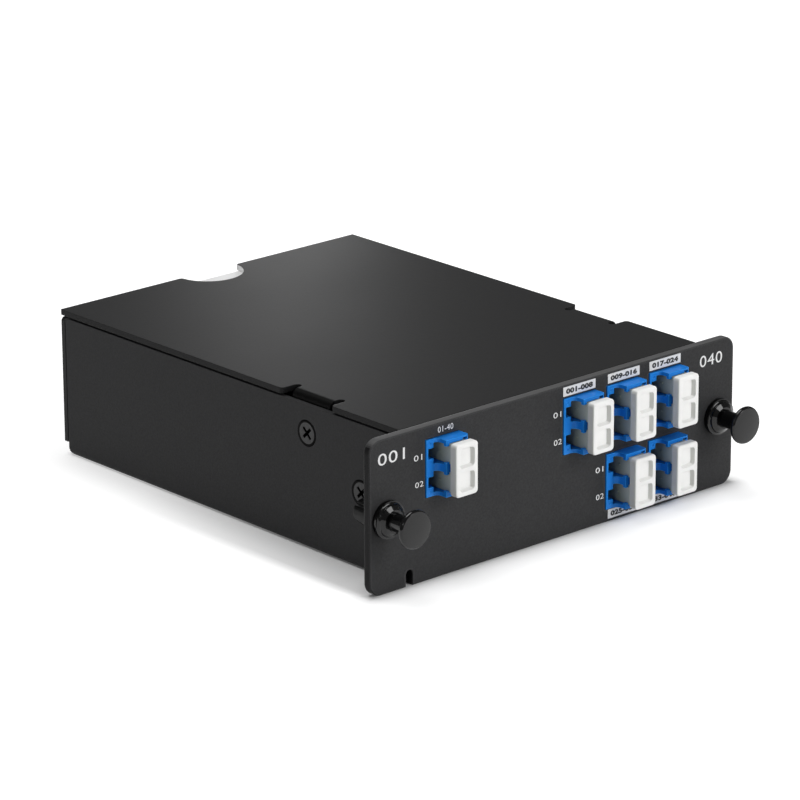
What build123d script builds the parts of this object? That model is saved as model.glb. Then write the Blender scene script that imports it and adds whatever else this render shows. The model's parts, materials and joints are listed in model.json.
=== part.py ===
"""Plug-in wavelength multiplexer / demultiplexer module, 1U high, with six duplex fibre ports.

A folded steel tray with a screwed cover carries a flat front panel. Six LC duplex adapters
look out of the panel, each closed by a white dust cap, and two push-pull latches at the ends
hold the module in its chassis. The tray holds the filter devices and the stored fibre.
Millimetres, +Z up, panel towards -Y, left and right as seen from the panel's side.
"""
import os

from build123d import *

os.makedirs("parts", exist_ok=True)

# Envelope
panel_w = 106.7
panel_h = 34.1
panel_t = 2.0
panel_corner_r = 3.0
panel_edge_r = 0.3
module_depth = 115.0          # panel face to rear wall
panel_overhang = 10.0         # panel beyond each side of the box
box_lift = 0.05               # underside of the tray above the panel's lower edge
cover_drop = 0.05             # top of the cover below the panel's upper edge

# Folded sheet
sheet_t = 1.2
fold_r = 1.35                 # outside radius of the tray's folds
cover_t = 1.3
ear_fold_r = 1.6              # outside radius of the cover's folds
wall_gap = 0.5                # cover to the side walls
flange_gap = 0.12             # cover to the rear flange
joint_gap = 0.1               # sheet against sheet
tab_w = 2.2                   # rear wall beyond its fold, behind a side wall
tab_lift = 2.95               # its lower end above the underside
tab_corner_r = 1.0
tab_gap = 0.3                 # side wall to the rear wall's tab
rear_flange_depth = 11.0
wall_corner_r = 2.0           # rear lower corner of a side wall

# Thumb notch in the cover and the seal that it shows
thumb_r = 8.0
thumb_x = -0.5                # off the box's middle
thumb_corner_r = 0.8
seal_margin = 0.4             # seal beyond the notch
seal_t = 0.08

# Ears that the cover folds down inside the side walls
ear_depth = 31.2              # ear centre behind the panel face
ear_w = 12.0
ear_drop = 13.0               # cover top to the ear's lower edge
ear_corner_r = 2.5
slit_w = 1.9
slit_reach = 4.45             # slit tip in from the cover's edge
slit_corner_r = 0.8

# Countersunk cross-head screws
screw_head_r = 2.75
screw_head_seat = 0.22        # countersink radius beyond the head
screw_shank_r = 1.45
screw_len = 4.6
thread_gap = 0.03
cross_w = 0.75
cross_len = 3.3
cross_depth = 1.1
cover_screw_drop = 8.1        # ear screw below the cover's top
bracket_screw_share = 0.5     # bracket screw's height as a share of the panel's
bracket_screw_depth = 14.0

# Brackets behind the panel
bracket_t = 1.5
bracket_len = 18.0
bracket_h = 15.0
bracket_gap = 0.25            # foot to the nearest adapter's shoulder

# Locating notch in the panel's lower edge, at the left end
key_w = 2.1
key_h = 3.7
key_inset = 10.9

# Push-pull latches
latch_inset = 4.8             # axis in from the panel's end
latch_share = 0.481           # latch height as a share of the panel's
latch_hole_r = 3.1
barrel_gap = 0.05
collar_r = 4.1
collar_h = 2.3
collar_rim = 1.0              # straight side of the collar
collar_edge_r = 0.7
collar_mouth_r = 2.5
barb_h = 0.4
leg_reach = 5.8               # legs behind the panel
leg_tip_r = 2.5
leg_slit_w = 0.8
stem_r = 1.95
stem_gap = 0.08
stem_tail = 2.6               # stem tip behind the panel face when pulled out
knob_r = 4.2
knob_t = 1.3
knob_crown = 0.25
knob_reach = 9.3              # pulled-out knob in front of the panel face
flare_r = 3.0
flare_len = 1.5

# LC duplex adapters
adapter_w = 9.5
adapter_h = 12.5
adapter_len = 22.0            # rear end behind the panel face
adapter_proud = 0.3           # flange in front of the panel face
adapter_gap = 0.15            # adapter in its cut-out
port_pitch = 6.25
port_bore = 4.6               # square hole for a plug's body
port_side = 0.95              # wall on the side away from the latch
hood_reach = 3.0              # hood and prongs in front of the panel face
hood_w = 6.4
hood_sweep_r = 1.2
hood_corner_r = 0.7
catch_t = 0.8                 # catches that hold a plug's latch
catch_gap = 3.6
latch_way_w = 2.0             # wide part of the latch's way, beside the bore
rim_wall = 0.5                # left between the narrow part of the way and the rim
key_way_h = 2.3
dimple_r = 0.35
dimple_depth = 0.15
dimple_inset = 1.1
hood_slot_w = 1.2             # slots in the hood's lips, over the bores' outer corners
hood_slot_inset = 0.6
hood_slot_skin = 0.35
hood_slot_len = 1.8
shoulder_gap = 0.6            # half of the gap between neighbours' shoulders
shoulder_t = 1.4
web_t = 1.2
web_depth = 9.5               # middle of the web behind the panel face
sleeve_r = 0.8
sleeve_wall = 0.165
sleeve_len = 6.8
sleeve_slit = 0.25
holder_wall = 0.45
holder_gap = 0.04

line_port_inset = 10.23       # line port's middle from the box's left side
channel_inset = 11.4          # last channel column's middle from the box's right side
channel_pitch = 12.8
upper_row_share = 0.7252      # rows' heights as shares of the panel's
lower_row_share = 0.271

# Dust caps
cap_w = 6.2
cap_h = 11.6
cap_t = 2.0
cap_stand = 1.0               # cap behind face to the hood's front
cap_corner_r = 0.9
cap_edge_r = 0.35
cap_window_w = 4.1
cap_window_h = 4.3
cap_window_bar = 0.9
cap_window_r = 0.8
cap_window_depth = 0.95
block_gap = 0.13
block_len = 9.0
block_nose = 0.5
nub_r = 0.2
nub_depth = 4.0               # nub behind the cap's back

# LC plugs of the inner pigtails
plug_gap = 0.1
plug_len = 17.0
ferrule_fit = 0.015
ferrule_gap = 0.05            # between the ferrule tips in the middle of a sleeve
boot_len = 10.0
boot_r = 1.7
boot_tip_r = 0.9
latch_arm_t = 0.8
latch_arm_h = 2.1
latch_arm_rise = 2.3
latch_arm_overhang = 3.5      # arm end behind the adapter
latch_lug_h = 4.2
latch_lug_len = 1.2
latch_lug_gap = 0.15          # lug behind the adapter's catch

# Filter devices and their cradle
filter_r = 2.75
filter_len = 26.0
filter_boot_r = 1.5
filter_boot_len = 5.0
filter_gap = 0.08
filter_columns = 5
cradle_pitch = 6.7
cradle_base_t = 1.2
cradle_rib_t = 2.0
cradle_rib_span = 16.0
cradle_len = 24.0
store_gap = 5.8               # coil to the rear wall
store_lift = 0.05

# Stored fibre and its clips
coil_r = 28.5
coil_w = 4.0
coil_h = 5.0
coil_edge_r = 1.4
clip_t = 0.9
clip_w = 5.0
clip_gap = 0.1
clip_pad = 4.0

# Places worked out from the values above
face_y = (knob_reach - module_depth - seal_t) / 2
box_w = panel_w - 2 * panel_overhang
box_top = panel_h - cover_drop
cover_under = box_top - cover_t
wall_top = cover_under - wall_gap
floor_z = box_lift + sheet_t
inner_side = box_w / 2 - sheet_t
rear_flange_top = cover_under - flange_gap
seal_r = thumb_r + seal_margin
cover_screw_z = box_top - cover_screw_drop
bracket_screw_z = panel_h * bracket_screw_share
latch_z = panel_h * latch_share
upper_row_z = panel_h * upper_row_share
lower_row_z = panel_h * lower_row_share
line_port_x = -box_w / 2 + line_port_inset
channel_x0 = box_w / 2 - channel_inset - 2 * channel_pitch
shoulder_w = (channel_pitch - adapter_w) / 2 - shoulder_gap
shoulder_h = (upper_row_z - lower_row_z - adapter_h) / 2 - shoulder_gap
bracket_foot = line_port_inset - adapter_w / 2 - shoulder_w - bracket_gap - sheet_t - joint_gap
store_depth = module_depth - sheet_t - store_gap - coil_r - coil_w / 2
sleeve_bore_r = sleeve_r - sleeve_wall
ferrule_r = sleeve_bore_r - ferrule_fit
ports = [("line", line_port_x, upper_row_z)]
for number, (column, row) in enumerate([(0, 0), (1, 0), (2, 0), (1, 1), (2, 1)], start=1):
    ports.append((f"channel_{number}", channel_x0 + column * channel_pitch, (upper_row_z, lower_row_z)[row]))
sides = [("left", -1), ("right", 1)]


def y_at(depth):
    """Y of a plane that lies this far behind the panel's front face."""
    return face_y + depth


def facing(depth, x=0.0, z=0.0):
    """Sketch plane that looks out of the panel's front, with X right and Z up."""
    return Plane(origin=(x, y_at(depth), z), x_dir=(1, 0, 0), z_dir=(0, -1, 0))


def save(part, name):
    part.label = name
    export_step(part, f"parts/{name}.step")


# Tray: floor and side walls, then the rear wall with its top flange and its tabs
fold_half = box_w / 2 - tab_w
wall_end = y_at(module_depth - sheet_t - tab_gap)
with BuildPart() as base_tray:
    with BuildSketch(facing(panel_t)):
        with BuildLine():
            FilletPolyline(
                (-box_w / 2, wall_top),
                (-box_w / 2, box_lift),
                (box_w / 2, box_lift),
                (box_w / 2, wall_top),
                radius=fold_r,
            )
            offset(amount=sheet_t, side=Side.LEFT)
        make_face()
    extrude(amount=y_at(panel_t) - wall_end)
    with BuildSketch(Plane.YZ):
        with BuildLine():
            FilletPolyline(
                (y_at(module_depth - 2 * fold_r), box_lift),
                (y_at(module_depth), box_lift),
                (y_at(module_depth), rear_flange_top),
                (y_at(module_depth - rear_flange_depth), rear_flange_top),
                radius=fold_r,
            )
            offset(amount=sheet_t, side=Side.LEFT)
        make_face()
    extrude(amount=fold_half, both=True)
    for name, side in sides:
        tab_h = wall_top - box_lift - tab_lift
        with BuildSketch(facing(module_depth - sheet_t, side * fold_half, box_lift + tab_lift)) as tab:
            Rectangle(tab_w, tab_h, align=(Align.MIN if side > 0 else Align.MAX, Align.MIN))
            outer = tab.vertices().sort_by(Axis.X)[-2:] if side > 0 else tab.vertices().sort_by(Axis.X)[:2]
            fillet(outer.sort_by(Axis.Z)[0], radius=tab_corner_r)
        extrude(amount=-sheet_t)
        with BuildSketch(Plane.YZ.offset(side * box_w / 2)):
            with Locations((wall_end, box_lift)):
                Rectangle(wall_corner_r, wall_corner_r, align=(Align.MAX, Align.MIN))
            with Locations((wall_end - wall_corner_r, box_lift + wall_corner_r)):
                Circle(wall_corner_r, mode=Mode.SUBTRACT)
        extrude(amount=-side * fold_r, mode=Mode.SUBTRACT)
        with BuildSketch(Plane.YZ.offset(side * box_w / 2)):
            with Locations((y_at(ear_depth), cover_screw_z), (y_at(bracket_screw_depth), bracket_screw_z)):
                Circle(screw_head_r + screw_head_seat)
        extrude(amount=-side * sheet_t, taper=45, mode=Mode.SUBTRACT)
save(base_tray.part, "base_tray")

# Cover: flat plate with the thumb notch, slits, and the ears folded down between them
cover_front = panel_t + joint_gap
cover_len = module_depth - cover_front
fold_line = box_w / 2 - sheet_t - joint_gap - ear_fold_r
notch_w = ear_w + 2 * slit_w
with BuildPart() as top_cover:
    with BuildSketch(Plane.XY.offset(cover_under)) as plate:
        with Locations((0, y_at(cover_front + cover_len / 2))):
            Rectangle(box_w, cover_len)
        with Locations((thumb_x, y_at(module_depth))):
            Circle(thumb_r, mode=Mode.SUBTRACT)
        rim = plate.vertices().filter_by(lambda v: abs(abs(v.X - thumb_x) - thumb_r) < 0.01)
        fillet(rim, radius=thumb_corner_r)
        for name, side in sides:
            with Locations((side * box_w / 2, y_at(ear_depth))):
                Rectangle(2 * (box_w / 2 - fold_line), notch_w, mode=Mode.SUBTRACT)
            slits = [(side * (box_w / 2 - slit_reach / 2), y_at(ear_depth + end * (ear_w + slit_w) / 2))
                     for end in (-1, 1)]
            with Locations(*slits):
                SlotOverall(slit_reach, slit_w, mode=Mode.SUBTRACT)
        mouths = plate.vertices().filter_by(
            lambda v: abs(abs(v.X) - box_w / 2) < 0.01 and abs(v.Y - y_at(ear_depth)) < notch_w
        )
        fillet(mouths, radius=slit_corner_r)
    extrude(amount=cover_t)
    for name, side in sides:
        with BuildSketch(Plane.XZ.offset(-y_at(ear_depth))):
            with BuildLine():
                FilletPolyline(
                    (side * (fold_line - ear_fold_r), box_top),
                    (side * (fold_line + ear_fold_r), box_top),
                    (side * (fold_line + ear_fold_r), box_top - ear_drop),
                    radius=ear_fold_r,
                )
                offset(amount=cover_t, side=Side.RIGHT if side > 0 else Side.LEFT)
            make_face()
        extrude(amount=ear_w / 2, both=True)
    low_corners = top_cover.edges().filter_by(Axis.X).filter_by(
        lambda e: e.center().Z < box_top - ear_drop + 0.1
    )
    fillet(low_corners, radius=ear_corner_r)
    for name, side in sides:
        with BuildSketch(Plane.YZ.offset(side * (fold_line + ear_fold_r))):
            with Locations((y_at(ear_depth), cover_screw_z)):
                Circle(screw_head_r + screw_head_seat - sheet_t - joint_gap)
        extrude(amount=-side * 0.35, taper=45, mode=Mode.SUBTRACT)
        with BuildSketch(Plane.YZ.offset(side * box_w / 2)):
            with Locations((y_at(ear_depth), cover_screw_z)):
                Circle(screw_shank_r + thread_gap)
        extrude(amount=-side * (screw_len + joint_gap), mode=Mode.SUBTRACT)
save(top_cover.part, "top_cover")

# Round seal, blank, folded over the tray's rear edge
seal_flat = (seal_r ** 2 - fold_r ** 2) ** 0.5
with BuildPart() as rear_seal:
    with BuildSketch(Plane.XY.offset(rear_flange_top)):
        with Locations((thumb_x, y_at(module_depth))):
            Circle(seal_r)
        with Locations((thumb_x, y_at(module_depth) - fold_r)):
            Rectangle(2 * seal_r, 2 * seal_r, align=(Align.CENTER, Align.MIN), mode=Mode.SUBTRACT)
    extrude(amount=seal_t)
    with BuildSketch(Plane.YZ.offset(thumb_x)):
        with Locations((y_at(module_depth) - fold_r, rear_flange_top - fold_r)):
            Circle(fold_r + seal_t)
            Circle(fold_r, mode=Mode.SUBTRACT)
            Rectangle(2 * fold_r + 1, 2 * fold_r + 1, align=(Align.MIN, Align.MIN), mode=Mode.INTERSECT)
    extrude(amount=seal_flat, both=True)
    with BuildSketch(facing(module_depth + seal_t)):
        with Locations((thumb_x, rear_flange_top)):
            Circle(seal_r)
        with Locations((thumb_x, rear_flange_top - fold_r)):
            Rectangle(2 * seal_r, 2 * seal_r, align=(Align.CENTER, Align.MIN), mode=Mode.SUBTRACT)
    extrude(amount=seal_t)
save(rear_seal.part, "rear_seal")

# Front panel: one flat plate with cut-outs, latch holes and the locating notch
with BuildPart() as front_panel:
    with BuildSketch(facing(0)):
        with Locations((0, panel_h / 2)):
            RectangleRounded(panel_w, panel_h, panel_corner_r)
    extrude(amount=-panel_t)
    rims = front_panel.faces().filter_by(Axis.Y)
    fillet(rims.edges(), radius=panel_edge_r)
    with BuildSketch(facing(0)):
        for name, side in sides:
            with Locations((side * (panel_w / 2 - latch_inset), latch_z)):
                Circle(latch_hole_r)
        with Locations((key_inset - panel_w / 2, (key_h - key_w / 2) / 2)):
            Rectangle(key_w, key_h - key_w / 2)
        with Locations((key_inset - panel_w / 2, key_h - key_w / 2)):
            Circle(key_w / 2)
        for name, x, z in ports:
            with Locations((x, z)):
                Rectangle(adapter_w + 2 * adapter_gap, adapter_h + 2 * adapter_gap)
    extrude(amount=-panel_t, mode=Mode.SUBTRACT)
save(front_panel.part, "front_panel")

# Brackets that join the panel to the side walls
for name, side in sides:
    wall_x = side * (inner_side - joint_gap)
    with BuildPart() as bracket:
        with BuildSketch(Plane.XY.offset(bracket_screw_z - bracket_h / 2)):
            with BuildLine():
                FilletPolyline(
                    (wall_x, y_at(panel_t + bracket_len)),
                    (wall_x, y_at(panel_t)),
                    (wall_x - side * bracket_foot, y_at(panel_t)),
                    radius=bracket_t + 0.3,
                )
                offset(amount=bracket_t, side=Side.LEFT if side < 0 else Side.RIGHT)
            make_face()
        extrude(amount=bracket_h)
        tips = bracket.edges().filter_by(Axis.X).filter_by(
            lambda e: e.center().Y > y_at(panel_t + bracket_len) - 0.1
        )
        fillet(tips, radius=ear_corner_r)
        with BuildSketch(Plane.YZ.offset(wall_x)):
            with Locations((y_at(bracket_screw_depth), bracket_screw_z)):
                Circle(screw_head_r + screw_head_seat - sheet_t - joint_gap)
        extrude(amount=-side * 0.35, taper=45, mode=Mode.SUBTRACT)
        with BuildSketch(Plane.YZ.offset(wall_x)):
            with Locations((y_at(bracket_screw_depth), bracket_screw_z)):
                Circle(screw_shank_r + thread_gap)
        extrude(amount=-side * bracket_t, mode=Mode.SUBTRACT)
    save(bracket.part, f"{name}_panel_bracket")

# Countersunk screws, one pair in the cover's ears and one pair in the brackets
screw_sets = [("cover_screws", ear_depth, cover_screw_z),
              ("bracket_screws", bracket_screw_depth, bracket_screw_z)]
for name, depth, z in screw_sets:
    with BuildPart() as screws:
        for side_name, side in sides:
            with BuildSketch(Plane.XY.offset(z)):
                with BuildLine():
                    Polyline(
                        (side * box_w / 2, y_at(depth)),
                        (side * box_w / 2, y_at(depth) + screw_head_r),
                        (side * (box_w / 2 - screw_head_r + screw_shank_r), y_at(depth) + screw_shank_r),
                        (side * (box_w / 2 - screw_len), y_at(depth) + screw_shank_r),
                        (side * (box_w / 2 - screw_len), y_at(depth)),
                        close=True,
                    )
                make_face()
            revolve(axis=Axis((0, y_at(depth), z), (1, 0, 0)))
            with BuildSketch(Plane.YZ.offset(side * box_w / 2)):
                with Locations((y_at(depth), z)):
                    Rectangle(cross_len, cross_w, rotation=45)
                    Rectangle(cross_len, cross_w, rotation=-45)
            extrude(amount=-side * cross_depth, taper=12, mode=Mode.SUBTRACT)
    save(screws.part, name)

# Latches: a collar with split legs through the panel, and the plunger that spreads them
for name, side in sides:
    axis_x = side * (panel_w / 2 - latch_inset)
    spin = Axis((axis_x, 0, latch_z), (0, 1, 0))
    leg_end = y_at(panel_t + leg_reach)
    barrel_r = latch_hole_r - barrel_gap
    with BuildPart() as collar:
        with BuildSketch(Plane.XY.offset(latch_z)):
            with BuildLine():
                Polyline(
                    (axis_x + stem_r + stem_gap, y_at(-collar_h)),
                    (axis_x + collar_mouth_r, y_at(-collar_h)),
                    (axis_x + collar_r - collar_edge_r, y_at(-collar_rim - collar_edge_r)),
                )
                RadiusArc(
                    (axis_x + collar_r - collar_edge_r, y_at(-collar_rim - collar_edge_r)),
                    (axis_x + collar_r, y_at(-collar_rim)),
                    collar_edge_r,
                )
                Polyline(
                    (axis_x + collar_r, y_at(-collar_rim)),
                    (axis_x + collar_r, y_at(0)),
                    (axis_x + barrel_r, y_at(0)),
                    (axis_x + barrel_r, y_at(panel_t + barrel_gap)),
                    (axis_x + barrel_r + barb_h, y_at(panel_t + barrel_gap + barb_h)),
                    (axis_x + leg_tip_r, leg_end),
                    (axis_x + stem_r + stem_gap, leg_end),
                    (axis_x + stem_r + stem_gap, y_at(-collar_h)),
                )
            make_face()
        revolve(axis=spin)
        with BuildSketch(Plane.XZ.offset(-leg_end)):
            with Locations((axis_x, latch_z)):
                Rectangle(3 * latch_hole_r, leg_slit_w, rotation=45)
                Rectangle(3 * latch_hole_r, leg_slit_w, rotation=-45)
        extrude(amount=leg_reach + panel_t / 2, mode=Mode.SUBTRACT)
    save(collar.part, f"{name}_latch_collar")

    with BuildPart() as plunger:
        with BuildSketch(Plane.XY.offset(latch_z)):
            with BuildLine():
                knob_back = -knob_reach + knob_crown + knob_t
                ThreePointArc(
                    (axis_x, y_at(-knob_reach)),
                    (axis_x + knob_r / 2, y_at(-knob_reach + knob_crown / 4)),
                    (axis_x + knob_r - 0.3, y_at(-knob_reach + knob_crown)),
                )
                ThreePointArc(
                    (axis_x + knob_r - 0.3, y_at(-knob_reach + knob_crown)),
                    (axis_x + knob_r, y_at(-knob_reach + knob_crown + 0.4)),
                    (axis_x + knob_r - 0.4, y_at(knob_back)),
                )
                Line((axis_x + knob_r - 0.4, y_at(knob_back)), (axis_x + flare_r, y_at(knob_back)))
                RadiusArc(
                    (axis_x + flare_r, y_at(knob_back)),
                    (axis_x + stem_r, y_at(knob_back + flare_len)),
                    -1.3 * flare_len,
                )
                Polyline(
                    (axis_x + stem_r, y_at(knob_back + flare_len)),
                    (axis_x + stem_r, y_at(stem_tail - 0.6)),
                    (axis_x + stem_r - 0.6, y_at(stem_tail)),
                    (axis_x, y_at(stem_tail)),
                    (axis_x, y_at(-knob_reach)),
                )
            make_face()
        revolve(axis=spin)
    save(plunger.part, f"{name}_latch_plunger")

# Adapters, their sleeves, the caps in front and the pigtail plugs behind
bore_x = adapter_w / 2 - port_side - port_bore / 2       # bore axis from the adapter's middle
catch_x = adapter_w / 2 - hood_w
bore_edge = bore_x - port_bore / 2
key_way_w = adapter_w / 2 + bore_edge - rim_wall
bore_top = (port_pitch + port_bore) / 2
slot_x = adapter_w / 2 - hood_slot_inset
slot_z = adapter_h / 2 - hood_slot_skin
for name, x, z in ports:
    with BuildPart() as adapter:
        with BuildSketch(Plane.XY.offset(z)):
            with BuildLine():
                front = y_at(-adapter_proud)
                Polyline(
                    (x + catch_x, y_at(-adapter_proud) - hood_sweep_r),
                    (x + catch_x, y_at(-hood_reach)),
                    (x + adapter_w / 2, y_at(-hood_reach)),
                    (x + adapter_w / 2, y_at(adapter_len)),
                    (x - adapter_w / 2, y_at(adapter_len)),
                    (x - adapter_w / 2, front),
                    (x + catch_x - hood_sweep_r, front),
                )
                RadiusArc(
                    (x + catch_x - hood_sweep_r, front),
                    (x + catch_x, front - hood_sweep_r),
                    hood_sweep_r,
                )
            make_face()
        extrude(amount=adapter_h / 2, both=True)
        corner = adapter.edges().filter_by(Axis.Z).filter_by(
            lambda e: e.center().Y < y_at(-hood_reach) + 0.1 and e.center().X > x
        )
        fillet(corner, radius=hood_corner_r)
        with BuildSketch(facing(panel_t, x, z)):
            Rectangle(adapter_w + 2 * shoulder_w, adapter_h + 2 * shoulder_h)
        extrude(amount=-shoulder_t)
        for row in (-1, 1):
            middle = row * port_pitch / 2
            for mouth, end, toward in ((-hood_reach, web_depth - web_t / 2, -1),
                                       (adapter_len, web_depth + web_t / 2, 1)):
                with BuildSketch(facing(mouth, x, z)):
                    with Locations((bore_x, middle)):
                        Rectangle(port_bore, port_bore)
                    with Locations((bore_edge, middle)):
                        Rectangle(key_way_w, key_way_h, align=(Align.MAX, Align.CENTER))
                        Rectangle(latch_way_w, catch_gap, align=(Align.MAX, Align.CENTER))
                extrude(amount=mouth - end, mode=Mode.SUBTRACT)
                with BuildSketch(facing(mouth - toward * catch_t, x, z)):
                    with Locations((bore_edge, middle)):
                        Rectangle(latch_way_w, port_bore, align=(Align.MAX, Align.CENTER))
                extrude(amount=mouth - toward * catch_t - end, mode=Mode.SUBTRACT)
            with BuildSketch(facing(web_depth, x, z)):
                with Locations((bore_x, middle)):
                    Circle(sleeve_r + holder_gap + holder_wall)
            extrude(amount=sleeve_len / 2, both=True)
        with BuildSketch(facing(web_depth, x, z)):
            with Locations((bore_x, -port_pitch / 2), (bore_x, port_pitch / 2)):
                Circle(sleeve_r + holder_gap)
        extrude(amount=sleeve_len, both=True, mode=Mode.SUBTRACT)
        with BuildSketch(facing(-hood_reach, x, z)):
            with Locations((slot_x, slot_z)):
                Rectangle(hood_slot_w, slot_z - bore_top, align=(Align.MAX, Align.MAX))
            with Locations((slot_x, -slot_z)):
                Rectangle(hood_slot_w, slot_z - bore_top, align=(Align.MAX, Align.MIN))
        extrude(amount=-hood_slot_len, mode=Mode.SUBTRACT)
        dimples = [(-adapter_w / 2 + dimple_inset, end * (adapter_h / 2 - dimple_inset)) for end in (-1, 1)]
        with BuildSketch(facing(-adapter_proud, x, z)):
            with Locations(*dimples):
                Circle(dimple_r)
        extrude(amount=-dimple_depth, mode=Mode.SUBTRACT)
    save(adapter.part, f"{name}_adapter")

    with BuildPart() as sleeves:
        with BuildSketch(facing(web_depth, x, z)):
            with Locations((bore_x, -port_pitch / 2), (bore_x, port_pitch / 2)):
                Circle(sleeve_r)
                Circle(sleeve_bore_r, mode=Mode.SUBTRACT)
                Rectangle(2 * sleeve_r, sleeve_slit, align=(Align.MIN, Align.CENTER), mode=Mode.SUBTRACT)
        extrude(amount=sleeve_len / 2, both=True)
    save(sleeves.part, f"{name}_sleeves")

    cap_back = -hood_reach - cap_stand
    with BuildPart() as cap:
        with BuildSketch(facing(cap_back, x, z)):
            with Locations((bore_x, 0)):
                RectangleRounded(cap_w, cap_h, cap_corner_r)
        extrude(amount=cap_t)
        fillet(cap.faces().filter_by(Axis.Y).edges(), radius=cap_edge_r)
        window_z = (cap_window_h + cap_window_bar) / 2
        with BuildSketch(facing(cap_back - cap_t, x, z)):
            with Locations((bore_x, -window_z), (bore_x, window_z)):
                RectangleRounded(cap_window_w, cap_window_h, cap_window_r)
        extrude(amount=-cap_window_depth, taper=20, mode=Mode.SUBTRACT)
        block_w = port_bore - 2 * block_gap
        for row in (-1, 1):
            with BuildSketch(facing(cap_back, x, z)):
                with Locations((bore_x, row * port_pitch / 2)):
                    Rectangle(block_w, block_w)
            extrude(amount=-block_len)
            with BuildSketch(Plane.YZ.offset(x + bore_x - block_w / 2)):
                with Locations((y_at(cap_back + nub_depth), z + row * port_pitch / 2)):
                    Circle(nub_r)
            extrude(amount=-nub_r)
        nose = cap.faces().sort_by(Axis.Y)[-2:]
        chamfer(nose.edges(), length=block_nose)
    save(cap.part, f"{name}_dust_cap")

    plug_w = port_bore - 2 * plug_gap
    plug_front = web_depth + sleeve_len / 2 + plug_gap
    plug_side = x + bore_x - plug_w / 2
    arm_end = adapter_len + latch_arm_overhang
    lug_front = adapter_len - catch_t - latch_lug_gap - latch_lug_len
    lug_x = bore_edge - latch_way_w + latch_lug_gap
    with BuildPart() as plugs:
        for row in (-1, 1):
            middle = row * port_pitch / 2
            with BuildSketch(facing(plug_front, x, z)):
                with Locations((bore_x, middle)):
                    Rectangle(plug_w, plug_w)
            extrude(amount=-plug_len)
            with BuildSketch(facing(plug_front, x, z)):
                with Locations((bore_x, middle)):
                    Circle(ferrule_r)
            extrude(amount=plug_front - web_depth - ferrule_gap)
            with BuildSketch(Plane.XY.offset(z + middle)):
                with BuildLine():
                    Polyline(
                        (plug_side, y_at(plug_front + 1)),
                        (plug_side, y_at(plug_front + 2 + latch_arm_t)),
                        (plug_side + latch_arm_t - latch_arm_rise, y_at(arm_end)),
                        (plug_side - latch_arm_rise, y_at(arm_end)),
                        close=True,
                    )
                make_face()
            extrude(amount=latch_arm_h / 2, both=True)
            with BuildSketch(facing(lug_front, x, z)):
                with Locations((lug_x, middle)):
                    Rectangle(latch_arm_t, latch_lug_h, align=(Align.MIN, Align.CENTER))
            extrude(amount=-latch_lug_len)
            with BuildSketch(facing(plug_front + plug_len, x, z)):
                with Locations((bore_x, middle)):
                    Circle(boot_r)
            with BuildSketch(facing(plug_front + plug_len + boot_len, x, z)):
                with Locations((bore_x, middle)):
                    Circle(boot_tip_r)
            loft()
    save(plugs.part, f"{name}_pigtail_plugs")

# Cradle with comb ribs, and the filter devices stacked two high in its slots
cradle_w = filter_columns * cradle_pitch
cradle_z = floor_z + store_lift
slot_w = 2 * (filter_r + filter_gap)
slot_h = 4 * (filter_r + filter_gap)
columns = [(index - (filter_columns - 1) / 2) * cradle_pitch for index in range(filter_columns)]
with BuildPart() as filter_cradle:
    with BuildSketch(Plane.XY.offset(cradle_z)):
        with Locations((0, y_at(store_depth))):
            RectangleRounded(cradle_w + 1, cradle_len, 2)
    extrude(amount=cradle_base_t)
    for end in (-1, 1):
        with BuildSketch(facing(store_depth + end * cradle_rib_span / 2, 0, cradle_z + cradle_base_t)):
            with Locations((0, slot_h / 2)):
                Rectangle(cradle_w + 1, slot_h)
            for column in columns:
                with Locations((column, filter_r + filter_gap)):
                    Circle(slot_w / 2, mode=Mode.SUBTRACT)
                    Rectangle(slot_w, slot_h, align=(Align.CENTER, Align.MIN), mode=Mode.SUBTRACT)
        extrude(amount=cradle_rib_t / 2, both=True)
save(filter_cradle.part, "filter_cradle")

for index, (column, level) in enumerate([(c, l) for l in range(2) for c in columns], start=1):
    filter_z = cradle_z + cradle_base_t + (2 * level + 1) * (filter_r + filter_gap)
    with BuildPart() as device:
        with BuildSketch(Plane.XY.offset(filter_z)):
            with BuildLine():
                Polyline(
                    (column, y_at(store_depth) - filter_len / 2 - filter_boot_len),
                    (column + filter_boot_r * 0.6, y_at(store_depth) - filter_len / 2 - filter_boot_len),
                    (column + filter_boot_r, y_at(store_depth) - filter_len / 2),
                    (column + filter_r, y_at(store_depth) - filter_len / 2),
                    (column + filter_r, y_at(store_depth) + filter_len / 2),
                    (column + filter_boot_r, y_at(store_depth) + filter_len / 2),
                    (column + filter_boot_r * 0.6, y_at(store_depth) + filter_len / 2 + filter_boot_len),
                    (column, y_at(store_depth) + filter_len / 2 + filter_boot_len),
                    close=True,
                )
            make_face()
        revolve(axis=Axis((column, 0, filter_z), (0, 1, 0)))
    save(device.part, f"filter_{index}")

# Coil of stored fibre round the cradle, held by four saddle clips
coil_mid_z = floor_z + clip_t + clip_gap + coil_h / 2
with BuildPart() as fibre_coil:
    with BuildSketch(Plane.XZ.offset(-y_at(store_depth))):
        with Locations((coil_r, coil_mid_z)):
            RectangleRounded(coil_w, coil_h, coil_edge_r)
    revolve(axis=Axis((0, y_at(store_depth), 0), (0, 0, 1)))
save(fibre_coil.part, "fibre_coil")

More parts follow.
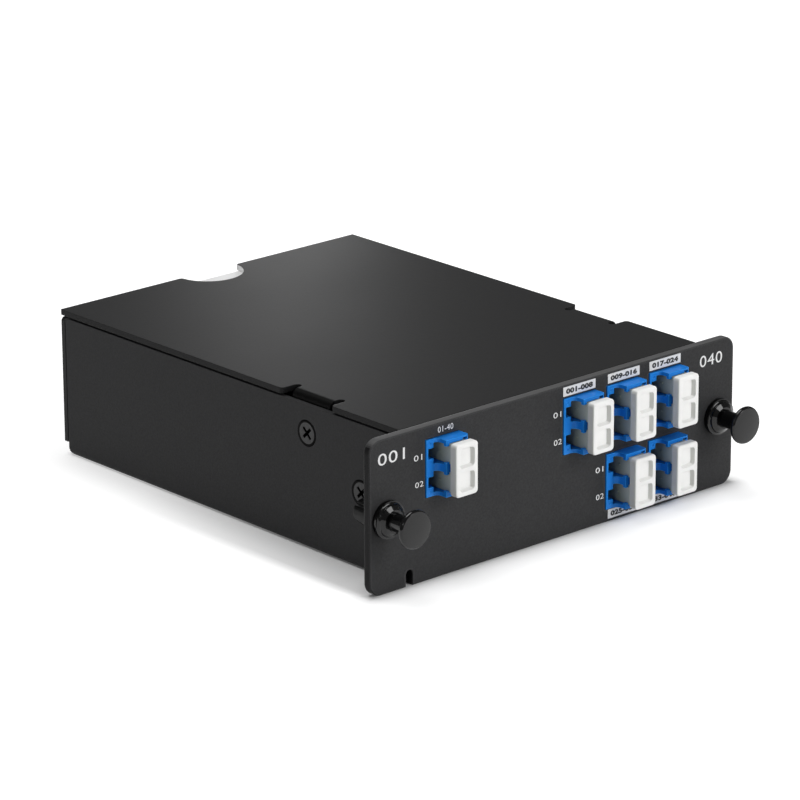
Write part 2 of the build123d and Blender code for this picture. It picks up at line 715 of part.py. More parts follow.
for number, angle in enumerate((45, 135, 225, 315), start=1):
    with BuildPart() as clip:
        seat = Plane(origin=(0, y_at(store_depth), 0), z_dir=(0, 0, 1)).rotated((0, 0, angle))
        upright = Plane(origin=seat.origin, x_dir=seat.x_dir, z_dir=-seat.y_dir)
        with BuildSketch(upright):
            with Locations((coil_r, floor_z)):
                Rectangle(coil_w + 2 * (clip_gap + clip_t) + clip_pad, clip_t,
                          align=(Align.CENTER, Align.MIN))
                Rectangle(coil_w + 2 * (clip_gap + clip_t), coil_h + 2 * (clip_gap + clip_t),
                          align=(Align.CENTER, Align.MIN))
            with Locations((coil_r, floor_z + clip_t)):
                Rectangle(coil_w + 2 * clip_gap, coil_h + 2 * clip_gap,
                          align=(Align.CENTER, Align.MIN), mode=Mode.SUBTRACT)
        extrude(amount=clip_w / 2, both=True)
    save(clip.part, f"coil_clip_{number}")
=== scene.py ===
import json
import math

import bmesh
import bpy
from mathutils import Matrix, Vector


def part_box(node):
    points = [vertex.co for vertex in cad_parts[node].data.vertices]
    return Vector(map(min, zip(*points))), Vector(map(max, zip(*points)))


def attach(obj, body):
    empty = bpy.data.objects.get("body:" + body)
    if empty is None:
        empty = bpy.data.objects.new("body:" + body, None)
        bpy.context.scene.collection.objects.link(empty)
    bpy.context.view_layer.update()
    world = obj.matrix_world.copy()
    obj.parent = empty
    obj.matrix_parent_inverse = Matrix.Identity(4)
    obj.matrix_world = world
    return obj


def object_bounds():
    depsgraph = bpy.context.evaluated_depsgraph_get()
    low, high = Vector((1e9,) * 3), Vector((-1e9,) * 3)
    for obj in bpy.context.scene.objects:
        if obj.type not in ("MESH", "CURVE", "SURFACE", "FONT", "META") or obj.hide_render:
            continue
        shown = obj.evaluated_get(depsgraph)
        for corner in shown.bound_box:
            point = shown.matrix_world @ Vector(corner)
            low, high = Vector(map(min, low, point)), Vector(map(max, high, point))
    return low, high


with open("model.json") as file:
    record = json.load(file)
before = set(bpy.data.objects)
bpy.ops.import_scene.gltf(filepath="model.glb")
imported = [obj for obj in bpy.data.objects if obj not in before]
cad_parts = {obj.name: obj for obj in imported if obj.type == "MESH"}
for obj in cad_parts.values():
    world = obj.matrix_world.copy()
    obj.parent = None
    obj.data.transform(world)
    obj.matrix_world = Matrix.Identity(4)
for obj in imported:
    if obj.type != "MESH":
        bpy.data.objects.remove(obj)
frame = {"nodes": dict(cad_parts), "record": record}
nodes = frame["nodes"]
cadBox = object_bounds()
mm = 0.001
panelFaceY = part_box("front_panel")[0].y
print("frame loaded:", len(nodes), "nodes")

# camera at the photo's view
cameraView = {
    "place": (-0.626839, -0.70255, 0.33487),
    "yaw": 41.854,
    "pitch": 18.596,
    "roll": -0.272,
    "lens": 202.475,
    "sensor": 36.0,
    "clipStart": 0.05,
    "clipEnd": 20.0,
}


def addCamera(view):
    yaw, pitch, roll = (math.radians(view[k]) for k in ("yaw", "pitch", "roll"))
    forward = Vector((math.sin(yaw) * math.cos(pitch), math.cos(yaw) * math.cos(pitch), -math.sin(pitch)))
    flatRight = Vector((math.cos(yaw), -math.sin(yaw), 0.0))
    flatUp = flatRight.cross(forward)
    right = math.cos(roll) * flatRight + math.sin(roll) * flatUp
    up = math.cos(roll) * flatUp - math.sin(roll) * flatRight
    data = bpy.data.cameras.new("photoCamera")
    data.lens = view["lens"]
    data.sensor_width = view["sensor"]
    data.clip_start = view["clipStart"]
    data.clip_end = view["clipEnd"]
    camera = bpy.data.objects.new("photoCamera", data)
    turn = Matrix((right, up, -forward)).transposed().to_4x4()
    camera.matrix_world = Matrix.Translation(Vector(view["place"])) @ turn
    bpy.context.scene.collection.objects.link(camera)
    bpy.context.scene.camera = camera


addCamera(cameraView)


# small helpers for node trees
def addNode(tree, kind, **settings):
    node = tree.nodes.new(kind)
    for key, value in settings.items():
        setattr(node, key, value)
    return node


def feed(tree, socket, value):
    # a socket takes either another socket or a plain value
    if hasattr(value, "is_linked"):
        tree.links.new(value, socket)
    else:
        socket.default_value = value


def addMath(tree, operation, *values, clamp=False):
    node = addNode(tree, "ShaderNodeMath", operation=operation, use_clamp=clamp)
    for socket, value in zip(node.inputs, values):
        feed(tree, socket, value)
    return node.outputs[0]


def addMix(tree, factor, first, second):
    node = addNode(tree, "ShaderNodeMix", data_type="RGBA")
    for socket, value in zip((node.inputs[0], node.inputs[6], node.inputs[7]), (factor, first, second)):
        feed(tree, socket, value)
    return node.outputs[2]


def addTone(tree, factor, colour, tone):
    # lays a plain tone over a colour where the factor is 1
    return addMix(tree, factor, colour, (*tone, 1))


def addRange(tree, value, low, high, newLow, newHigh):
    node = addNode(tree, "ShaderNodeMapRange")
    labels = ("Value", "From Min", "From Max", "To Min", "To Max")
    for label, number in zip(labels, (value, low, high, newLow, newHigh)):
        feed(tree, node.inputs[label], number)
    return node.outputs["Result"]


def addSwing(tree, noise, low=-1.0, high=1.0):
    # noise lies mostly between 0.3 and 0.7, and that is spread from low to high
    return addRange(tree, noise, 0.3, 0.7, low, high)


def addNoise(tree, where, scale, detail=2.0, roughness=0.5):
    node = addNode(tree, "ShaderNodeTexNoise")
    labels = ("Vector", "Scale", "Detail", "Roughness")
    for label, value in zip(labels, (where, scale, detail, roughness)):
        feed(tree, node.inputs[label], value)
    return node.outputs["Fac"]


def addScaled(tree, colour, factor):
    node = addNode(tree, "ShaderNodeVectorMath", operation="SCALE")
    feed(tree, node.inputs[0], colour)
    feed(tree, node.inputs["Scale"], factor)
    return node.outputs[0]


def addLength(tree, **sides):
    flat = addNode(tree, "ShaderNodeCombineXYZ")
    for label, value in sides.items():
        feed(tree, flat.inputs[label], value)
    node = addNode(tree, "ShaderNodeVectorMath", operation="LENGTH")
    feed(tree, node.inputs[0], flat.outputs[0])
    return node.outputs["Value"]


def addFacing(tree, normal, direction):
    node = addNode(tree, "ShaderNodeVectorMath", operation="DOT_PRODUCT")
    feed(tree, node.inputs[0], normal)
    feed(tree, node.inputs[1], direction)
    return node.outputs["Value"]


def objectPlace(tree):
    return addNode(tree, "ShaderNodeTexCoord").outputs["Object"]


def placeParts(tree):
    split = addNode(tree, "ShaderNodeSeparateXYZ")
    feed(tree, split.inputs[0], objectPlace(tree))
    return split.outputs


def trueNormal(tree):
    return addNode(tree, "ShaderNodeNewGeometry").outputs["True Normal"]


# shader groups, each built once and placed in the materials with its own values
def newGroup(name, inputs, outputs):
    group = bpy.data.node_groups.new(name, "ShaderNodeTree")
    for label, kind, value in inputs:
        socket = group.interface.new_socket(name=label, in_out="INPUT", socket_type=kind)
        socket.default_value = value
    for label, kind in outputs:
        group.interface.new_socket(name=label, in_out="OUTPUT", socket_type=kind)
    inside = group.nodes.new("NodeGroupInput").outputs
    outside = group.nodes.new("NodeGroupOutput").inputs
    return group, inside, outside


surfaceOutputs = [("Color", "NodeSocketColor"), ("Roughness", "NodeSocketFloat"),
                  ("Height", "NodeSocketFloat")]
maskOutput = [("Mask", "NodeSocketFloat")]
blendInput = ("Blend", "NodeSocketFloat", 0.0001)


def buildPowderCoat():
    # fine orange peel of a baked powder finish, with faint clouds in tone and gloss
    group, inside, outside = newGroup(
        "powderCoat",
        [("Base", "NodeSocketColor", (0.04, 0.04, 0.042, 1)),
         ("Fleck", "NodeSocketFloat", 0.25),
         ("Grain Scale", "NodeSocketFloat", 2600.0),
         ("Gloss Middle", "NodeSocketFloat", 0.5),
         ("Clouds", "NodeSocketFloat", 0.3)],
        surfaceOutputs)
    peelScale, cloudScale, glossSwing, grainHeight = 900.0, 38.0, 0.08, 0.6
    place = objectPlace(group)
    grain = addNoise(group, place, inside["Grain Scale"], 3.0, 0.6)
    peel = addNoise(group, place, peelScale, 1.0)
    cloud = addNoise(group, place, cloudScale, 3.0)
    drift = addMath(group, "MULTIPLY", addSwing(group, cloud), inside["Clouds"])
    swing = addMath(group, "ADD", addSwing(group, grain), drift)
    factor = addMath(group, "MULTIPLY_ADD", swing, inside["Fleck"], 1.0)
    feed(group, outside["Color"], addScaled(group, inside["Base"], factor))
    gloss = addMath(group, "MULTIPLY_ADD", drift, glossSwing, inside["Gloss Middle"])
    feed(group, outside["Roughness"], gloss)
    feed(group, outside["Height"], addMath(group, "MULTIPLY_ADD", grain, grainHeight, peel))
    return group


def buildMoulded():
    # moulded plastic: faint flow clouds, a fine spark-eroded grain, small change of gloss
    group, inside, outside = newGroup(
        "mouldedPlastic",
        [("Base", "NodeSocketColor", (0.5, 0.5, 0.5, 1)),
         ("Drift", "NodeSocketFloat", 0.06),
         ("Gloss Middle", "NodeSocketFloat", 0.4),
         ("Grain Scale", "NodeSocketFloat", 4200.0)],
        surfaceOutputs)
    cloudScale, glossSwing = 220.0, 0.05
    place = objectPlace(group)
    drift = addSwing(group, addNoise(group, place, cloudScale, 3.0))
    factor = addMath(group, "MULTIPLY_ADD", drift, inside["Drift"], 1.0)
    feed(group, outside["Color"], addScaled(group, inside["Base"], factor))
    gloss = addMath(group, "MULTIPLY_ADD", drift, glossSwing, inside["Gloss Middle"])
    feed(group, outside["Roughness"], gloss)
    feed(group, outside["Height"], addNoise(group, place, inside["Grain Scale"], 2.0))
    return group


def buildSoftEdge():
    # rounds the look of sheared and moulded edges, and marks them for a painted highlight
    group, inside, outside = newGroup(
        "softEdge",
        [("Radius", "NodeSocketFloat", 0.0002)],
        [("Normal", "NodeSocketVector"), ("Edge", "NodeSocketFloat")])
    bevel = addNode(group, "ShaderNodeBevel", samples=6)
    feed(group, bevel.inputs["Radius"], inside["Radius"])
    feed(group, outside["Normal"], bevel.outputs[0])
    facing = addFacing(group, bevel.outputs[0], trueNormal(group))
    feed(group, outside["Edge"], addRange(group, facing, 0.99, 0.88, 0.0, 1.0))
    return group


def feedMask(group, inside, outside, distance):
    # in every mask a negative blend gives what lies on the other side of the limit
    feed(group, outside["Mask"], addMath(group, "DIVIDE", distance, inside["Blend"], clamp=True))


def buildBeyondDepth():
    # what lies beyond a plane across Y, for pieces in two tones
    group, inside, outside = newGroup(
        "beyondDepth", [("Depth", "NodeSocketFloat", 0.0), blendInput], maskOutput)
    feedMask(group, inside, outside, addMath(group, "SUBTRACT", placeParts(group)["Y"], inside["Depth"]))
    return group


def buildRingMask():
    # what lies within a radius of an axis along X, such as that of a screw in a side wall
    group, inside, outside = newGroup(
        "ringMask",
        [("Middle Y", "NodeSocketFloat", 0.0), ("Middle Z", "NodeSocketFloat", 0.0),
         ("Radius", "NodeSocketFloat", 0.003), blendInput],
        maskOutput)
    place = placeParts(group)
    offY = addMath(group, "SUBTRACT", place["Y"], inside["Middle Y"])
    offZ = addMath(group, "SUBTRACT", place["Z"], inside["Middle Z"])
    inner = addMath(group, "SUBTRACT", inside["Radius"], addLength(group, Y=offY, Z=offZ))
    feedMask(group, inside, outside, inner)
    return group


def buildSideMask():
    # both sides of a piece from a distance off the middle
    group, inside, outside = newGroup(
        "sideMask", [("Start X", "NodeSocketFloat", 0.04), blendInput], maskOutput)
    fromMiddle = addMath(group, "ABSOLUTE", placeParts(group)["X"])
    feedMask(group, inside, outside, addMath(group, "SUBTRACT", fromMiddle, inside["Start X"]))
    return group


def buildStretchMask():
    # a stretch along the depth
    group, inside, outside = newGroup(
        "stretchMask",
        [("Middle Y", "NodeSocketFloat", 0.0), ("Half Y", "NodeSocketFloat", 0.006), blendInput],
        maskOutput)
    along = addMath(group, "SUBTRACT", placeParts(group)["Y"], inside["Middle Y"])
    within = addMath(group, "SUBTRACT", inside["Half Y"], addMath(group, "ABSOLUTE", along))
    feedMask(group, inside, outside, within)
    return group


def buildCutFaces():
    # faces that don't look along a given normal, such as the thin faces left by a punch
    group, inside, outside = newGroup(
        "cutFaces", [("Sheet Normal", "NodeSocketVector", (0, 0, 0))], maskOutput)
    facing = addFacing(group, trueNormal(group), inside["Sheet Normal"])
    feed(group, outside["Mask"], addRange(group, addMath(group, "ABSOLUTE", facing), 0.5, 0.85, 1.0, 0.0))
    return group


def buildAwayFromFoot():
    # how far a point of the floor lies outside an upright outline
    group, inside, outside = newGroup(
        "awayFromFoot",
        [("Half X", "NodeSocketFloat", 0.04), ("Middle Y", "NodeSocketFloat", 0.0),
         ("Half Y", "NodeSocketFloat", 0.05)],
        [("Distance", "NodeSocketFloat")])
    place = placeParts(group)
    offY = addMath(group, "SUBTRACT", place["Y"], inside["Middle Y"])
    past = {}
    for label, value in (("X", place["X"]), ("Y", offY)):
        over = addMath(group, "SUBTRACT", addMath(group, "ABSOLUTE", value), inside["Half " + label])
        past[label] = addMath(group, "MAXIMUM", over, 0.0)
    feed(group, outside["Distance"], addLength(group, **past))
    return group


powderCoat = buildPowderCoat()
mouldedPlastic = buildMoulded()
softEdge = buildSoftEdge()
beyondDepth = buildBeyondDepth()
awayFromFoot = buildAwayFromFoot()
ringMask = buildRingMask()
sideMask = buildSideMask()
stretchMask = buildStretchMask()
cutFaces = buildCutFaces()
print("shader groups built")


# materials
reliefDepth = {"paint": 0.00006, "moulding": 0.00003, "paper": 0.00002}


def startMaterial(name):
    material = bpy.data.materials.new(name)
    material.use_nodes = True
    tree = material.node_tree
    return material, tree, tree.nodes["Principled BSDF"]


def placeGroup(tree, group, **values):
    node = addNode(tree, "ShaderNodeGroup", node_tree=group)
    for label, value in values.items():
        node.inputs[label.replace("_", " ")].default_value = value
    return node.outputs


def placeMask(tree, group, **values):
    return placeGroup(tree, group, **values)["Mask"]


def addBump(tree, height, strength, depth, normal=None):
    bump = addNode(tree, "ShaderNodeBump")
    bump.inputs["Strength"].default_value = strength
    bump.inputs["Distance"].default_value = depth
    feed(tree, bump.inputs["Height"], height)
    if normal is not None:
        feed(tree, bump.inputs["Normal"], normal)
    return bump.outputs[0]


def dressShader(tree, shader, colour, surface, relief):
    feed(tree, shader.inputs["Base Color"], colour)
    feed(tree, shader.inputs["Roughness"], surface["Roughness"])
    feed(tree, shader.inputs["Normal"], relief)


def liningMask(tree, lining, cut):
    # the cut edge of the cover between two depths, near the middle
    middle = placeMask(tree, sideMask, Start_X=lining["halfX"], Blend=-0.0001)
    back = placeMask(tree, stretchMask, Middle_Y=(lining["front"] + lining["rear"]) / 2,
                     Half_Y=(lining["rear"] - lining["front"]) / 2)
    return addMath(tree, "MULTIPLY", addMath(tree, "MULTIPLY", middle, back), cut)


def coatedMetal(name, settings):
    material, tree, shader = startMaterial(name)
    coat = placeGroup(tree, powderCoat, Base=(*settings["base"], 1), Fleck=settings["fleck"],
                      Gloss_Middle=settings["gloss"], Clouds=settings.get("clouds", 0.3))
    edge = placeGroup(tree, softEdge, Radius=settings["edgeRadius"])
    colour = coat["Color"]
    # painted shade on the faces that don't look along the sheet
    if "cutTone" in settings:
        cut = placeMask(tree, cutFaces, Sheet_Normal=settings["sheetNormal"])
        colour = addTone(tree, cut, colour, settings["cutTone"])
    # painted light: faces that look up or down take a lighter tone
    if "topTone" in settings:
        upright = placeMask(tree, cutFaces, Sheet_Normal=(0, 0, 1))
        colour = addMix(tree, upright, (*settings["topTone"], 1), colour)
    # painted highlight along the edges
    if "edgeTone" in settings:
        share = addMath(tree, "MULTIPLY", edge["Edge"], settings["edgeShare"])
        colour = addTone(tree, share, colour, settings["edgeTone"])
    if "lining" in settings:
        colour = addTone(tree, liningMask(tree, settings["lining"], cut), colour, settings["lining"]["tone"])
    # painted shade laid over each set of masks
    for limits in settings.get("seams", []):
        masks = [placeMask(tree, group, **values) for group, values in limits]
        paintedShade = masks[0] if len(masks) == 1 else addMath(tree, "MULTIPLY", *masks)
        colour = addTone(tree, paintedShade, colour, settings["seamTone"])
    relief = addBump(tree, coat["Height"], settings["bump"], reliefDepth["paint"], edge["Normal"])
    dressShader(tree, shader, colour, coat, relief)
    shader.inputs["Specular IOR Level"].default_value = settings["specular"]
    return material


def rearTone(tree, colour, rear):
    # another tone from a depth on, which a painted shade may darken further over a fade
    far = (*rear["tone"], 1)
    if "deepTone" in rear:
        deeper = placeMask(tree, beyondDepth, Depth=rear["depth"], Blend=rear["fade"])
        far = addTone(tree, deeper, far, rear["deepTone"])
    return addMix(tree, placeMask(tree, beyondDepth, Depth=rear["depth"], Blend=0.0002), colour, far)


def polishAhead(tree, shader, polish):
    # a polished skin in front of a depth, nearly none behind it
    behind = placeMask(tree, beyondDepth, Depth=polish["depth"], Blend=0.001)
    weight = addRange(tree, behind, 0.0, 1.0, polish["ahead"], polish["behind"])
    feed(tree, shader.inputs["Coat Weight"], weight)
    shader.inputs["Coat Roughness"].default_value = polish["roughness"]


def plastic(name, settings):
    material, tree, shader = startMaterial(name)
    body = placeGroup(tree, mouldedPlastic, Base=(*settings["base"], 1), Drift=settings["drift"],
                      Gloss_Middle=settings["gloss"], Grain_Scale=settings.get("grain", 4200.0))
    edge = placeGroup(tree, softEdge, Radius=settings.get("edgeRadius", 0.00015))
    colour = body["Color"]
    # painted highlight along the edges
    if "edgeTone" in settings:
        colour = addTone(tree, edge["Edge"], colour, settings["edgeTone"])
    # painted shade on faces that look along X
    if "sideTone" in settings:
        broad = placeMask(tree, cutFaces, Sheet_Normal=(1, 0, 0))
        colour = addMix(tree, broad, (*settings["sideTone"], 1), colour)
    if "rear" in settings:
        colour = rearTone(tree, colour, settings["rear"])
    relief = addBump(tree, body["Height"], settings.get("bump", 0.1), reliefDepth["moulding"], edge["Normal"])
    dressShader(tree, shader, colour, body, relief)
    shader.inputs["Specular IOR Level"].default_value = settings.get("specular", 0.5)
    if "polish" in settings:
        polishAhead(tree, shader, settings["polish"])
    if "scatter" in settings:
        shader.inputs["Subsurface Weight"].default_value = settings["scatter"]
        shader.inputs["Subsurface Radius"].default_value = (0.6, 0.6, 0.6)
        shader.inputs["Subsurface Scale"].default_value = 0.0006
    return material


def bareMetal(name, settings):
    material, tree, shader = startMaterial(name)
    body = placeGroup(tree, mouldedPlastic, Base=(*settings["base"], 1), Drift=0.08,
                      Gloss_Middle=settings["gloss"], Grain_Scale=settings["brush"])
    relief = addBump(tree, body["Height"], 0.15, reliefDepth["moulding"])
    dressShader(tree, shader, body["Color"], body, relief)
    shader.inputs["Metallic"].default_value = 1.0
    return material


# painted sheet and screws
# painted shade: the dark ring round each countersunk head, its black rim and its black recess
screwLook = {
    "seamRadius": 0.003,           # dark ring round a countersunk head
    "rimRadius": 0.0023,           # a head is black from here to its rim
    "rimHalfY": 0.004,             # half the depth that one head takes up
    "faceSkin": 0.00012,           # a head is painted this deep, and its recess is black below that
}
# painted shade: where the cover is black over the ear's fold between the slits
earFoldShade = {"startX": 0.0407, "halfY": 0.0061}
sealRim = {"halfX": 0.012, "behindEdge": 0.0006, "reach": 0.02}
# the black of the painted shade in rings, recesses and at the ear fold
black = (0.0008, 0.0008, 0.0008)
earLow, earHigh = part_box("cover_screws")
earMiddleY = (earLow.y + earHigh.y) / 2
wallX = max(abs(earLow.x), abs(earHigh.x))


# painted shade: a ring round a screw's axis
def screwShadeRing(node, radius, blend=0.0001):
    low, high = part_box(node)
    return [(ringMask, {"Middle_Y": (low.y + high.y) / 2, "Middle_Z": (low.z + high.z) / 2,
                        "Radius": radius, "Blend": blend})]


def headRimShade(node, radius):
    # painted shade on a head's rim: outside the radius, but on this pair of screws alone
    low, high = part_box(node)
    near = {"Middle_Y": (low.y + high.y) / 2, "Half_Y": screwLook["rimHalfY"]}
    return screwShadeRing(node, radius, -0.0001) + [(stretchMask, near)]


coatSettings = {
    "trayPaint": {
        "base": (0.034, 0.034, 0.035), "fleck": 0.14, "gloss": 0.55, "bump": 0.3, "specular": 0.1,
        "edgeRadius": 0.00022, "edgeTone": (0.06, 0.06, 0.062), "edgeShare": 0.5,
        # painted shade: black rings round the cover and bracket screws
        "seams": [screwShadeRing(node, screwLook["seamRadius"]) for node in ("cover_screws", "bracket_screws")],
        "seamTone": black,
    },
    "coverPaint": {
        "base": (0.023, 0.023, 0.0235), "fleck": 0.1, "gloss": 0.47, "bump": 0.15, "specular": 0.1,
        "clouds": 0.1, "edgeRadius": 0.0002, "edgeTone": (0.05, 0.05, 0.051), "edgeShare": 0.5,
        # painted shade on the band of the cover's cut edge
        "sheetNormal": (0, 0, 1), "cutTone": (0.010, 0.010, 0.0104),
        # the seal's rim, pressed up against the thumb notch
        "lining": {"halfX": sealRim["halfX"], "rear": cadBox[1].y - sealRim["behindEdge"],
                   "front": cadBox[1].y - sealRim["reach"], "tone": (0.84, 0.84, 0.84)},
        # painted shade: black over the ear's fold
        "seams": [[(sideMask, {"Start_X": earFoldShade["startX"]}),
                   (stretchMask, {"Middle_Y": earMiddleY, "Half_Y": earFoldShade["halfY"]})]],
        "seamTone": black,
    },
    "panelPaint": {
        "base": (0.034, 0.034, 0.035), "fleck": 0.16, "gloss": 0.5, "bump": 0.35, "specular": 0.1,
        "edgeRadius": 0.0009, "edgeTone": (0.1, 0.1, 0.102), "edgeShare": 0.7,
        # this normal is met by faces square to Y and to Z, so the painted shade is on the plate's two ends,
        # and faces that look up or down take a painted light
        "sheetNormal": (0, 1, -1), "cutTone": (0.007, 0.007, 0.0075), "topTone": (0.1, 0.1, 0.101),
    },
    "blackScrew": {
        "base": (0.095, 0.095, 0.096), "fleck": 0.12, "gloss": 0.45, "bump": 0.15, "specular": 0.04,
        "edgeRadius": 0.0001,
        # painted shade: black in the heads' cross recesses and round their rims
        "seams": [[(sideMask, {"Start_X": wallX - screwLook["faceSkin"], "Blend": -0.00005})],
                  headRimShade("cover_screws", screwLook["rimRadius"]),
                  headRimShade("bracket_screws", screwLook["rimRadius"])],
        "seamTone": black,
    },
}

# plastics, paper, ceramic and fibre
capPlateT = 0.004              # a cap's face plate, behind which its blocks begin
bootLength = 0.010
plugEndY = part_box("line_pigtail_plugs")[1].y
plasticSettings = {
    "latchNylon": {
        "base": (0.0014, 0.0014, 0.0015), "drift": 0.2, "gloss": 0.4, "bump": 0.03, "edgeRadius": 0.0007,
        "specular": 0.05,
        "polish": {"depth": panelFaceY + 0.001, "ahead": 0.74, "behind": 0.1, "roughness": 0.08},
    },
    "adapterBlue": {
        "base": (0.012, 0.2, 0.68), "drift": 0.08, "gloss": 0.4, "bump": 0.12, "edgeRadius": 0.00022,
        "edgeTone": (0.03, 0.38, 1.0), "specular": 0.2,
    },
    "capWhite": {
        "base": (0.9, 0.9, 0.885), "drift": 0.03, "gloss": 0.42, "edgeRadius": 0.0002, "scatter": 0.15,
        "sideTone": (0.64, 0.645, 0.62),       # painted shade on the narrow sides, darker than the fronts
        # behind the face plate the blocks are grey-green, partly their own tone and partly painted shade,
        # with painted shade deepening into the adapter
        "rear": {"depth": panelFaceY - capPlateT, "tone": (0.62, 0.65, 0.56),
                 "deepTone": (0.24, 0.28, 0.24), "fade": 0.004},
    },
    "sealPaper": {"base": (0.84, 0.84, 0.84), "drift": 0.03, "gloss": 0.5, "bump": 0.2},
    "zirconia": {"base": (0.86, 0.85, 0.82), "drift": 0.03, "gloss": 0.15, "bump": 0.03},
    "plugPlastic": {
        "base": (0.78, 0.79, 0.8), "drift": 0.04, "gloss": 0.4,
        "rear": {"depth": plugEndY - bootLength, "tone": (0.72, 0.74, 0.78)},
    },
    "cradlePlastic": {"base": (0.05, 0.05, 0.055), "drift": 0.15, "gloss": 0.5},
    "fibreJacket": {"base": (0.82, 0.74, 0.3), "drift": 0.1, "gloss": 0.45, "bump": 0.4, "grain": 1200.0},
    "clipNylon": {"base": (0.85, 0.84, 0.8), "drift": 0.05, "gloss": 0.45},
}
metalSettings = {
    "zincPlate": {"base": (0.62, 0.63, 0.65), "gloss": 0.38, "brush": 1800.0},
    "filterSteel": {"base": (0.6, 0.6, 0.62), "gloss": 0.3, "brush": 2400.0},
}
finishes = {}
for make, group in ((coatedMetal, coatSettings), (plastic, plasticSettings), (bareMetal, metalSettings)):
    finishes.update({name: make(name, settings) for name, settings in group.items()})


def finishName(slot):
    # a material slot such as tray_paint takes the finish trayPaint
    first, *rest = slot.split("_")
    return first + "".join(word.capitalize() for word in rest)


for part in frame["record"]["subparts"]:
    cadNode = nodes[part["node"]]
    cadNode.data.materials.clear()
    cadNode.data.materials.append(finishes[finishName(part["material_slot"])])
print("finishes set on the CAD nodes")

# label strips and printed numbers on the panel, sizes and places in millimetres
inkThickness = 0.02
stripMarks = {
    "width": 9.5,
    "height": 2.08,
    "thickness": 0.05,
    "cornerR": 0.12,
    "textWidth": 7.9,
    "textHeight": 1.2,
    "weight": 0.06,
    "places": [("001-008", 6.27, 32.5), ("009-016", 19.49, 32.5), ("017-024", 32.0, 32.5),
               ("025-032", 19.9, 1.69), ("033-040", 32.02, 1.69)],
}
inkMarks = {
    "weight": 0.0,
    # name, text, middle in X and Z, width, height
    "words": [("unitNumber", "001", -47.32, 29.66, 7.4, 2.56),
              ("rowNumber", "040", 46.26, 30.02, 6.9, 2.6),
              ("lineRange", "01-40", -32.25, 32.47, 4.3, 1.28),
              ("lineFibre_1", "01", -39.95, 27.69, 2.3, 1.27),
              ("lineFibre_2", "02", -39.63, 21.77, 2.3, 1.21),
              ("upperFibre_1", "01", -0.16, 27.85, 2.3, 1.25),
              ("upperFibre_2", "02", 0.03, 21.69, 2.3, 1.26),
              ("lowerFibre_1", "01", 12.51, 12.49, 2.3, 1.26),
              ("lowerFibre_2", "02", 12.7, 6.32, 2.3, 1.25)],
}
lettering = {"letterGap": 1.08, "curveSteps": 4}


def paperMaterial(name, base):
    # film or ink with the faint mottle of a printed surface
    material, tree, shader = startMaterial(name)
    fibre = addNoise(tree, objectPlace(tree), 5200.0, 3.0)
    feed(tree, shader.inputs["Base Color"], addScaled(tree, base, addSwing(tree, fibre, 0.93, 1.04)))
    feed(tree, shader.inputs["Normal"], addBump(tree, fibre, 0.15, reliefDepth["paper"]))
    shader.inputs["Roughness"].default_value = 0.55
    return material


stripFilm = paperMaterial("stripFilm", (0.74, 0.74, 0.74))
whiteInk = paperMaterial("whiteInk", (0.82, 0.82, 0.82))
blackInk = paperMaterial("blackInk", (0.012, 0.012, 0.012))


def addPiece(name, mesh, material, body="module"):
    piece = bpy.data.objects.new(name, mesh)
    bpy.context.scene.collection.objects.link(piece)
    piece.data.materials.clear()
    piece.data.materials.append(material)
    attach(piece, body)


def plateOutline(centre, size, cornerR, steps=4):
    points = []
    for sx, sz, start in ((1, 1, 0), (-1, 1, 90), (-1, -1, 180), (1, -1, 270)):
        for i in range(steps + 1):
            angle = math.radians(start + 90 * i / steps)
            points.append((centre[0] + sx * (size[0] / 2 - cornerR) + cornerR * math.cos(angle),
                           centre[1] + sz * (size[1] / 2 - cornerR) + cornerR * math.sin(angle)))
    return points


def plateMesh(name, outline, backY, thickness):
    # a flat shape in X and Z, in millimetres, that stands out towards -Y
    work = bmesh.new()
    front = [work.verts.new((x * mm, backY - thickness * mm, z * mm)) for x, z in outline]
    back = [work.verts.new((x * mm, backY, z * mm)) for x, z in outline]
    work.faces.new(front)
    work.faces.new(back[::-1])
    for i in range(len(outline)):
        j = (i + 1) % len(outline)
        work.faces.new((front[i], back[i], back[j], front[j]))
    bmesh.ops.recalc_face_normals(work, faces=work.faces)
    mesh = bpy.data.meshes.new(name)
    work.to_mesh(mesh)
    work.free()
    return mesh


def textMesh(name, body, centre, size, backY, weight):
    # Blender's own font one unit thick, then scaled to the print's width, height and thickness
    curve = bpy.data.curves.new(name, "FONT")
    curve.body = body
    curve.size = 1.0
    curve.space_character = lettering["letterGap"]
    curve.offset = weight
    curve.extrude = 0.5
    curve.resolution_u = lettering["curveSteps"]
    source = bpy.data.objects.new(name + "Source", curve)
    bpy.context.scene.collection.objects.link(source)
    bpy.context.view_layer.update()
    mesh = bpy.data.meshes.new_from_object(source.evaluated_get(bpy.context.evaluated_depsgraph_get()))
    bpy.data.objects.remove(source)
    mesh.name = name
    xs = [v.co.x for v in mesh.vertices]
    ys = [v.co.y for v in mesh.vertices]
    middle = ((max(xs) + min(xs)) / 2, (max(ys) + min(ys)) / 2)
    scale = (size[0] * mm / (max(xs) - min(xs)), size[1] * mm / (max(ys) - min(ys)))
    for v in mesh.vertices:
        v.co = (centre[0] * mm + (v.co.x - middle[0]) * scale[0],
                backY - inkThickness * mm * (v.co.z + 0.5),
                centre[1] * mm + (v.co.y - middle[1]) * scale[1])
    return mesh


